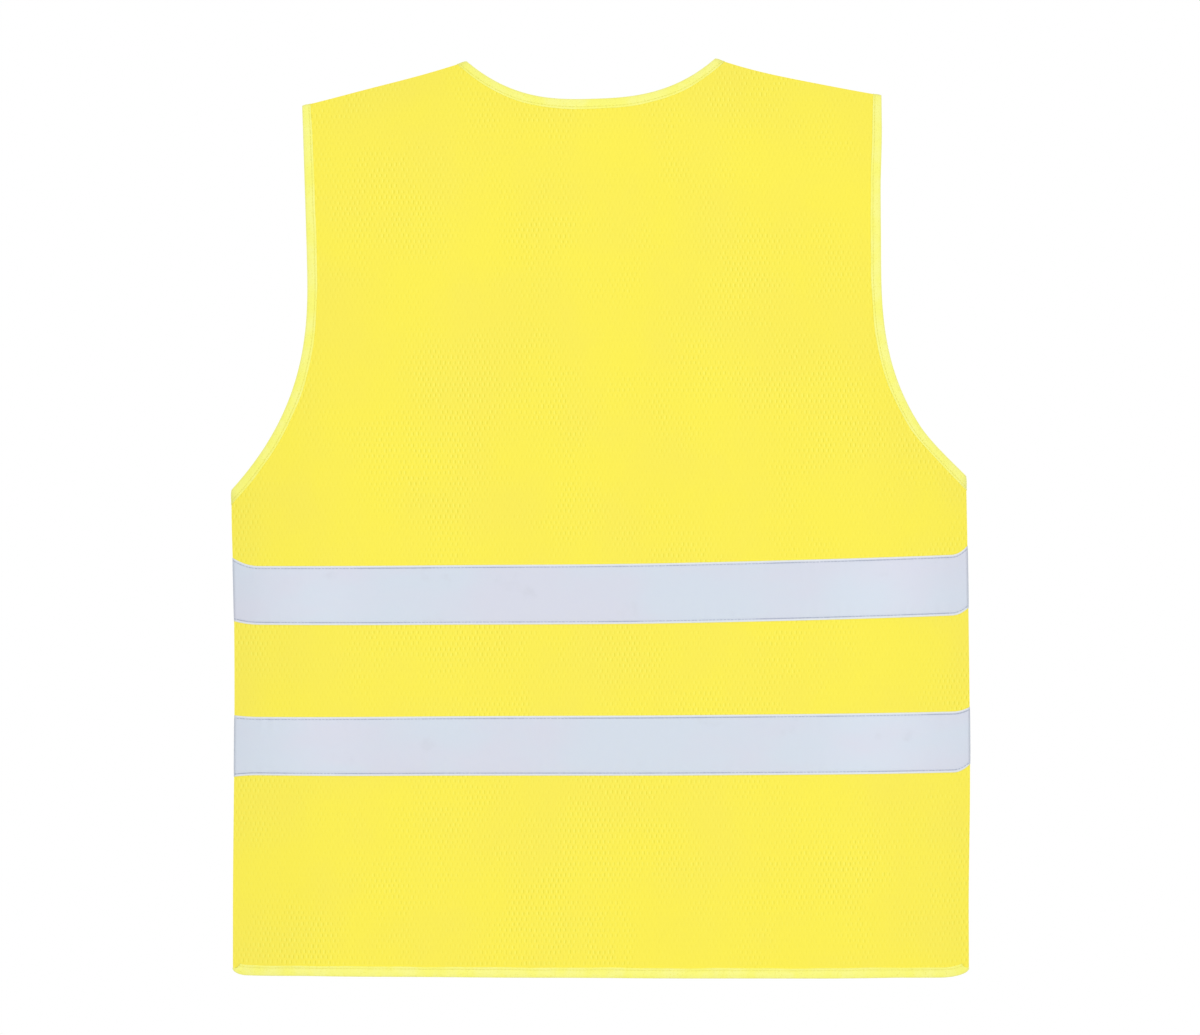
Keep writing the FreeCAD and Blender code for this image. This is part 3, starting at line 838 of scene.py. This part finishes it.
# How deep thread sinks into a tape, and where it lies inside and outside the cloth.
THREAD_SUNK = 0.10 * MM
THREAD_INSIDE = 0.15 * MM
THREAD_OUTSIDE = 0.85 * MM
# How far a tape sags in the middle and rises to the left, and the (start, reach) of that rise.
TAPE_SAG = {"upper": 2.9 * MM, "lower": 0.3 * MM}
TAPE_RISE = {"upper": 1.1 * MM, "lower": 0.7 * MM}
TAPE_LEFT = (-0.06, 0.20)
# How far a tape's top and foot turn up at the side seams, and over what width.
TAPE_CURL = {("upper", -1): (7.0 * MM, 2.8 * MM), ("upper", 1): (7.0 * MM, 5.8 * MM),
             ("lower", -1): (1.2 * MM, -1.6 * MM), ("lower", 1): (3.4 * MM, 6.6 * MM)}
CURL_REACH = {-1: 22.0 * MM, 1: 14.0 * MM}


def tape_z(level, x, down):
    """Height of a line a distance down from a tape's top edge."""
    sag = TAPE_SAG[level] * (1.0 - (x / HALF_WIDTH) ** 2) - TAPE_RISE[level] * onset(-x, *TAPE_LEFT)
    curl = 0.0
    for side, reach in CURL_REACH.items():
        top, foot = TAPE_CURL[level, side]
        near = np.clip((side * x - HALF_WIDTH + reach) / reach, 0.0, 1.0) ** 2
        curl = curl + near * (top + (foot - top) * down / TAPE_WIDTH)
    return TAPE_TOPS[level] - sag + curl - down


def tape(level, face, x_from, x_to):
    """One length of tape on a panel, with raised edges and a stitch groove along each."""
    x = np.linspace(x_from, x_to, int(abs(x_to - x_from) / TAPE_STEP))[:, None]
    rows = np.concatenate([TAPE_ROWS, [TAPE_WIDTH / 2.0], TAPE_WIDTH - TAPE_ROWS[::-1]])
    down = rows[None] + 0.0 * x
    edge = np.minimum(down, TAPE_WIDTH - down)
    groove = GROOVE[0] * np.exp(-((edge - TAPE_STITCH) / GROOVE[1]) ** 2)
    rounding = ROUNDING[0] * np.clip(1.0 - edge / ROUNDING[1], 0.0, 1.0) ** 2
    pucker = PUCKERS[0] * np.exp(-(edge / PUCKERS[1]) ** 2) * np.sin(FULL_TURN * x / PUCKER_PITCH)
    belly = BELLY[0] * smooth(edge / BELLY[1])
    tuck = TUCK * (face != "back") * (1.0 - onset(np.abs(x - x_to), *TUCK_END))
    z = tape_z(level, x, down)
    top, _normal = place(face, x, z, TAPE_LIFT + TAPE_THICK - groove - rounding + pucker + belly - tuck)
    low, _normal = place(face, x, z, TAPE_LIFT - TAPE_UNDER)
    rings = np.concatenate([top, low[:, ::-1]], 1)
    marks = np.concatenate([edge, edge[:, ::-1]], 1) / MM
    thread_lift = TAPE_LIFT + TAPE_THICK - THREAD_SUNK - tuck[:, 0]
    for line in (TAPE_STITCH, TAPE_WIDTH - TAPE_STITCH):
        sew(face, x[:, 0], tape_z(level, x[:, 0], line), thread_lift, THREAD_INSIDE, "grey")
    return band_mesh(f"{level}_reflector_{face}", rings, REFLECTIVE, marks=marks)


def tapes():
    for level in ("upper", "lower"):
        back = tape(level, "back", HALF_WIDTH, -HALF_WIDTH)
        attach(back, "vest")
        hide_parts(f"{level}_tape_back")
        length = 2.0 * HALF_WIDTH + TAPE_EXTRA_BACK
        for name, side in FRONT_SIGN.items():
            length = HALF_WIDTH + LAP - 0.8 * BINDING
            front = tape(level, name, side * HALF_WIDTH, side * (HALF_WIDTH - length))
            fold(front, name)
            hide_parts(f"{level}_tape_{name}_side", f"{level}_tape_{name}_flap")


tapes()


# --- bindings ---

# Section of the folded binding: in from the edge, and out from the middle of the cloth.
SECTION = np.array([
    (8.2, 0.30), (8.2, 0.72), (7.8, 0.92), (7.2, 0.98), (6.7, 0.84), (6.3, 0.76), (5.9, 0.86),
    (5.2, 1.04), (4.0, 1.16), (2.2, 1.14), (0.9, 0.96), (0.1, 0.66), (-0.35, 0.28), (-0.42, -0.12),
    (-0.1, -0.5), (0.8, -0.78), (2.4, -0.92), (4.5, -0.90), (5.7, -0.76), (6.3, -0.60), (6.9, -0.74),
    (7.6, -0.70), (7.9, -0.45), (7.9, -0.30)]) * MM
STITCH_IN = 6.3 * MM
# Thread on the binding: out and in from the middle of the cloth.
BINDING_THREAD = (0.84 * MM, 0.70 * MM)
# A band's width varies in waves of (share, radians per metre, phase), and narrows to the
# shoulder seams by (share, reach).
WIDTH_WAVES = ((0.02, 61.0, 1.0), (0.015, 143.0, 0.0))
NARROWING = (0.16, 35.0 * MM)
BINDING_PUCKER = 0.06 * MM
BINDING_PUCKER_PITCH = 6.1 * MM
# The least divisor of a slanting end, and the rows of a front's band in the neck piece.
LEAST_SLANT = 0.6
NECK_ROWS = 5


def bound(face, edge, inward, start=None, end=None):
    """Rings of folded binding along flat points on a face, and its stitches.

    inward is +1 where the cloth lies to the right of the direction of travel, else -1. start and
    end are the flat directions of a seam that the band meets there."""
    along = tangents(edge)
    into = np.stack([along[:, 1], -along[:, 0]], 1) * inward
    gone = distances(edge)
    wide = 1.0
    for share, pace, phase in WIDTH_WAVES:
        wide = wide + share * np.sin(gone * pace + phase)
    for index, seam, past in ((0, start, gone), (-1, end, gone[-1] - gone)):
        if seam is not None:
            seam = unit(np.asarray(seam))
            into[index] = seam / max(LEAST_SLANT, seam @ into[index])
            if seam[0] != 0.0:
                wide = wide * (1.0 - NARROWING[0] * np.exp(-(past / NARROWING[1]) ** 2))
    away, out = SECTION[:, 0], SECTION[:, 1]
    reach = np.where(away[None] > MM, away[None] * wide[:, None], away[None])
    pucker = BINDING_PUCKER * np.sin(gone * FULL_TURN / BINDING_PUCKER_PITCH)[:, None]
    pucker = pucker * np.sign(out) * away / BINDING
    flat = edge[:, None] + into[:, None] * reach[..., None]
    rings, _normal = place(face, flat[..., 0], flat[..., 1], CLOTH_MIDDLE + out + pucker)
    row = edge + into * (STITCH_IN * wide)[:, None]
    sew(face, row[:, 0], row[:, 1], CLOTH_MIDDLE + BINDING_THREAD[0], CLOTH_MIDDLE - BINDING_THREAD[1])
    return rings


def shoulder_way(side, x):
    """Flat direction along the shoulder seam, away from the neck."""
    return np.array([side * MM, float(shoulder_z(x + MM) - shoulder_z(x))])


def armhole_bindings():
    down = (0.0, -1.0)
    for name, side in FRONT_SIGN.items():
        seam = -shoulder_way(side, SHOULDER_END[0] - MM)
        back = bound("back", armhole(side)[::-1], -side, down, seam)
        front = bound(name, armhole(side), side, seam, down)
        rings = np.concatenate([back, front])
        both = band_mesh(f"armhole_tape_{name}", rings, BINDING_TAPE, loop=True)
        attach(both, "vest")
        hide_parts(f"armhole_binding_{name}")


def neck_and_front_bindings():
    """One band up the left edge, round the back neck and down the right edge, in three parts."""
    left_seam, right_seam = (shoulder_way(side, NECK_HALF) for side in (-1, 1))
    left = bound("left", front_edge(-1)[::-1], -1, end=left_seam)
    back = bound("back", neckline(), 1, left_seam, right_seam)
    right = bound("right", front_edge(1), -1, start=right_seam)
    rings = np.concatenate([left[-NECK_ROWS:], back, right[:NECK_ROWS]])
    neck = band_mesh("neck_tape", rings, BINDING_TAPE)
    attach(neck, "vest")
    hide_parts("neck_binding")
    for name, rings in (("left", left[:1 - NECK_ROWS]), ("right", right[NECK_ROWS - 1:])):
        edge = band_mesh(f"front_edge_tape_{name}", rings, BINDING_TAPE)
        fold(edge, name)
        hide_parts(f"front_edge_binding_{name}")


def hem_bindings():
    run = joined(hem_corner(-1), hem(hem_end(-1), hem_end(1)), hem_corner(1)[::-1])
    back = band_mesh("hem_tape_back", bound("back", run, -1), BINDING_TAPE)
    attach(back, "vest")
    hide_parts("hem_binding")
    for name, side in FRONT_SIGN.items():
        run = joined(hem_corner(side), hem(hem_end(side), -side * (LAP - 4.0 * MM)))
        front = band_mesh(f"hem_tape_{name}", bound(name, run, side), BINDING_TAPE)
        fold(front, name)
        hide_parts(f"hem_binding_flap_{name}")


armhole_bindings()
neck_and_front_bindings()
hem_bindings()


# --- closure ---

# A hook and a loop, as points along the tape and out of it, and the radius of each.
HOOK_PATH = np.array([(0.0, 0.0), (0.0, 0.30), (0.04, 0.46), (0.16, 0.56), (0.30, 0.50),
                      (0.34, 0.38)]) * MM
LOOP_PATH = np.array([(-0.30, 0.0), (-0.42, 0.28), (-0.30, 0.56), (0.0, 0.66), (0.30, 0.56),
                      (0.42, 0.28), (0.30, 0.0)]) * MM
HOOK_RADIUS = 0.085 * MM
LOOP_RADIUS = 0.05 * MM
# Spacing of hooks and of loops, how far loops stray, and how far both keep from the edge.
HOOK_STEP = 1.5 * MM
LOOP_STEP = 1.25 * MM
LOOP_STRAY = 0.4
TUFT_INSET = 1.6 * MM
# Corner radius and grid of a patch, and how far in it is sewn.
PATCH_CORNER = 2.0 * MM
PATCH_GRID = 2.0 * MM
PATCH_SEWN = 2.2 * MM


def rounded_box(low, high, inset, radius):
    """Flat rounded rectangle, set in from the corners of a box."""
    left, right = low.x + inset + radius, high.x - inset - radius
    foot, top = low.z + inset + radius, high.z - inset - radius
    points = []
    for start, x, z in ((0.0, right, top), (0.5, left, top), (1.0, left, foot), (1.5, right, foot)):
        for part in np.linspace(0.0, 0.5, 6):
            angle = math.pi * (start + part)
            points.append((x + radius * math.cos(angle), z + radius * math.sin(angle)))
    return np.array(points)[::-1]


def patch(node, face, low_lift, high_lift, hooked):
    """Hook or loop patch on one front: woven ground, its tufts and the stitches round it."""
    low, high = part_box(node)
    material, slot_name = (HOOK_NYLON, "hook") if hooked else (LOOP_NYLON, "loop")
    ground = cloth_panel(node + "_ground", face, rounded_box(low, high, 0.0, PATCH_CORNER),
                         PATCH_GRID, material, low_lift, high_lift)
    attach(ground, FRONT_BODY[face])
    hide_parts(node)
    step = HOOK_STEP if hooked else LOOP_STEP
    xs = np.arange(low.x + TUFT_INSET, high.x - TUFT_INSET, step)
    zs = np.arange(low.z + TUFT_INSET, high.z - TUFT_INSET, step)
    x, z = (values.ravel() for values in np.meshgrid(xs, zs))
    if hooked:
        turn = math.pi * (np.arange(len(x)) % 2)
        base, up = place(face, x, z, low_lift)
        up = -up
    else:
        x = x + rng.uniform(-LOOP_STRAY, LOOP_STRAY, x.shape) * step
        z = z + rng.uniform(-LOOP_STRAY, LOOP_STRAY, z.shape) * step
        turn = rng.uniform(0.0, FULL_TURN, len(x))
        base, up = place(face, x, z, high_lift)
    side = square_to(np.stack([np.cos(turn), np.zeros(len(x)), np.sin(turn)], 1), up)
    path, radius, sides = (HOOK_PATH, HOOK_RADIUS, 4) if hooked else (LOOP_PATH, LOOP_RADIUS, 3)
    tufts = Tubes()
    tufts.add(base, side, up, path, np.full(len(path), radius), sides)
    pile = tufts.piece(node + "_pile", material, slot_name)
    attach(pile, FRONT_BODY[face])
    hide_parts(node)
    sewn = rounded_box(low, high, PATCH_SEWN, MM)
    ring = np.concatenate([sewn, sewn[:1]])
    dense = np.concatenate([np.linspace(a, b, 12)[:-1] for a, b in zip(ring, ring[1:])])
    sew(face, dense[:, 0], dense[:, 1], max(high_lift, THREAD_OUTSIDE), min(low_lift, THREAD_INSIDE))


for level_name in ("upper", "lower"):
    patch(f"hook_patch_{level_name}", "left", -0.45 * MM, 0.15 * MM, True)
    patch(f"loop_patch_{level_name}", "right", 0.85 * MM, 1.4 * MM, False)


# --- labels ---

# Points across and down a label, and half its thickness.
LABEL_COLUMNS = 12
LABEL_ROWS = 40
LABEL_HALF = 0.14 * MM
LABEL_STITCH = 2.4 * MM


def hung_label(node, bow, curl):
    """Blank satin label: bowed a little and curling at its foot."""
    low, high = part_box(node)
    across = np.linspace(-1.0, 1.0, LABEL_COLUMNS)[None]
    down = np.linspace(0.0, 1.0, LABEL_ROWS)[:, None]
    x = (low.x + high.x) / 2.0 + (high.x - low.x) / 2.0 * across + 0.0 * down
    z = high.z - (high.z - low.z) * down * (1.0 - 0.002 * across ** 2)
    y = (low.y + high.y) / 2.0 + bow * down * (1.0 - across ** 2)
    y = y + curl * onset(down, 0.6, 0.4) * (0.6 + 0.4 * across)
    front = lie(np.stack([x, y + LABEL_HALF, z], -1)).reshape(-1, 3)
    back = lie(np.stack([x, y - LABEL_HALF, z], -1)).reshape(-1, 3)
    count = len(front)
    number = np.arange(count).reshape(LABEL_ROWS, LABEL_COLUMNS)
    quads = np.stack([number[:-1, :-1], number[:-1, 1:], number[1:, 1:], number[1:, :-1]], -1)
    quads = quads.reshape(-1, 4)
    rim = np.concatenate([number[0], number[1:, -1], number[-1, -2::-1], number[-2:0:-1, 0]])
    faces = list(quads[:, ::-1]) + list(quads + count)
    for a, b in zip(rim, np.roll(rim, -1)):
        faces.append((a, b, b + count, a + count))
    sheet = crisp(piece(node + "_satin", np.concatenate([front, back]), faces, SATIN))
    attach(sheet, "labels")
    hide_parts(node)
    return front.reshape(LABEL_ROWS, LABEL_COLUMNS, 3)


def labels():
    sewn = Tubes()
    at = np.linspace(0.0, 1.0, 40)
    for node, bow, curl in (("care_label", 0.4, 1.2), ("size_tab", 0.3, 0.9)):
        row = hung_label(node, bow * MM, curl * MM)[2, 1:-1]
        dense = sampled(at, np.linspace(0.0, 1.0, len(row)), row)
        sewn.stitches(dense, np.tile((0.0, 1.0, 0.0), (len(at), 1)), LABEL_STITCH)
    threads = sewn.piece("label_stitching", THREADS["yellow"], "seam")
    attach(threads, "labels")


labels()


# --- seams ---

# Section of a seam allowance: in from the seam, and to both sides.
ALLOWANCE = np.array([(0.0, 0.0), (0.3, 0.32), (3.0, 0.42), (7.0, 0.40), (9.6, 0.36), (9.8, 0.0),
                      (9.6, -0.36), (7.0, -0.40), (3.0, -0.42), (0.3, -0.32)]) * MM
# An allowance sways by this much, over this length.
SWAY = 0.12 * MM
SWAY_LENGTH = 16.0 * MM
# Overlock thread: its spacing, points in a turn, the middle and reach of its swing in from the
# seam, its distance from the cloth, and its radius.
OVERLOCK_PITCH = 3.2 * MM
OVERLOCK_POINTS = 12
OVERLOCK_MIDDLE = 6.8 * MM
OVERLOCK_SWING = 3.1 * MM
OVERLOCK_OFF = 0.62 * MM
OVERLOCK_RADIUS = 0.17 * MM


def overlocked(name, line, toward, node):
    """Seam allowance that stands in from a seam, and the overlock thread round its free edge."""
    toward = np.asarray(toward, float)
    gone = distances(line)
    sway = SWAY * np.sin(gone * FULL_TURN / SWAY_LENGTH)
    base = line + toward * SEAM_START

    def space(flat, y):
        return lie(np.stack([flat[..., 0], y, flat[..., 1]], -1))

    flat = base[:, None] + toward * ALLOWANCE[None, :, :1]
    strip = band_mesh(name, space(flat, sway[:, None] + ALLOWANCE[None, :, 1]), MESH_KNIT)
    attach(strip, "vest")
    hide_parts(node)

    at = np.linspace(0.0, gone[-1], int(gone[-1] / OVERLOCK_PITCH * OVERLOCK_POINTS))
    phase = at * FULL_TURN / OVERLOCK_PITCH
    reach = OVERLOCK_MIDDLE + OVERLOCK_SWING * np.cos(phase)
    path = space(sampled(at, gone, base) + toward * reach[:, None],
                 np.interp(at, gone, sway) + OVERLOCK_OFF * np.sin(phase))
    along = tangents(path)
    first = unit(np.cross(along, (0.0, 1.0, 0.0)))
    second = np.cross(along, first)
    turn = (np.arange(5) * FULL_TURN / 5.0)[:, None]
    rings = first[:, None] * np.cos(turn) + second[:, None] * np.sin(turn)
    rings = path[:, None] + OVERLOCK_RADIUS * rings
    loops = band_mesh(name + "_overlock", rings, THREADS["yellow"])
    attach(loops, "vest")
    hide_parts(node)


def seams():
    for name, side in FRONT_SIGN.items():
        edge = shoulder(side)
        x = np.abs(edge[:, 0])
        edge = edge[(x > NECK_HALF + SEAM_MARGIN) & (x < SHOULDER_END[0] - SEAM_MARGIN)]
        way = unit(shoulder_way(side, 0.5 * (NECK_HALF + SHOULDER_END[0])))
        overlocked(f"shoulder_allowance_{name}", edge, (side * way[1], -side * way[0]),
                   f"shoulder_seam_{name}")
        edge = side_seam(side)
        z = edge[:, 1]
        edge = edge[(z < -UNDERARM - SEAM_MARGIN) & (z > -LENGTH + SEAM_MARGIN)]
        overlocked(f"side_allowance_{name}", edge, (-side, 0.0), f"side_seam_{name}")


seams()


# --- stitching ---

def sewing():
    for (face, colour), tubes in stitching.items():
        threads = tubes.piece(f"{face}_stitching_{colour}", THREADS[colour], "seam")
        if face == "back":
            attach(threads, "vest")
        else:
            fold(threads, face)


sewing()


# --- stage ---

AMBIENT = 0.74
FLOOR = [(x, y, -0.95) for x, y in ((-1.5, -1.5), (1.5, -1.5), (1.5, 1.5), (-1.5, 1.5))]
LOOK_AT = (0.0, 0.0, -0.4)
LENS = 200.0
SENSOR = 36.0
PICTURE_WIDTH = 1.008
CAMERA_HEIGHT = -0.3847
# Each light: place, width and height, power.
LIGHTS = {"key": ((-1.7, -2.9, -0.40), (1.8, 1.0), 14.4),
          "fill": ((1.8, -2.9, -0.50), (1.8, 0.8), 17.2),
          "top": ((0.0, -1.3, 1.9), (2.4, 0.8), 6.0),
          "front": ((0.6, 2.8, 0.6), (1.8, 1.8), 22.0)}


def stage():
    """Pale floor, white surroundings, soft light, and the camera square to the back."""
    scene = bpy.context.scene
    scene.view_settings.view_transform = "Standard"
    scene.world = bpy.data.worlds.new("white_studio")
    scene.world.use_nodes = True
    tree = scene.world.node_tree
    ambient = tree.nodes["Background"]
    backdrop = tree.nodes.new("ShaderNodeBackground")
    for background, strength in ((ambient, AMBIENT), (backdrop, 1.0)):
        background.inputs["Color"].default_value = (1.0, 1.0, 1.0, 1.0)
        background.inputs["Strength"].default_value = strength
    seen = tree.nodes.new("ShaderNodeMixShader")
    tree.links.new(tree.nodes.new("ShaderNodeLightPath").outputs["Is Camera Ray"], seen.inputs[0])
    tree.links.new(ambient.outputs[0], seen.inputs[1])
    tree.links.new(backdrop.outputs[0], seen.inputs[2])
    tree.links.new(seen.outputs[0], tree.nodes["World Output"].inputs[0])

    floor_mesh = bpy.data.meshes.new("floor")
    floor_mesh.from_pydata(FLOOR, [], [(0, 1, 2, 3)])
    floor = linked("floor", floor_mesh)
    pale = Nodes("pale_floor").evenly(Base_Color=(0.86, 0.86, 0.86, 1.0), Roughness=0.8)
    floor_mesh.materials.append(pale)

    for label, (place_at, size, power) in LIGHTS.items():
        light = bpy.data.lights.new(label, "AREA")
        light.shape = "RECTANGLE"
        light.size, light.size_y = size
        light.energy = power
        lamp = linked(label, light)
        lamp.location = place_at
        aim = Vector(LOOK_AT) - lamp.location
        lamp.rotation_euler = aim.to_track_quat("-Z", "Y").to_euler()

    camera_data = bpy.data.cameras.new("camera")
    camera_data.lens = LENS
    camera_data.sensor_width = SENSOR
    camera = linked("camera", camera_data)
    camera.location = (0.0, -PICTURE_WIDTH * LENS / SENSOR, CAMERA_HEIGHT)
    camera.rotation_euler = (math.pi / 2.0, 0.0, 0.0)
    camera_data.clip_end = 30.0
    scene.camera = camera


stage()
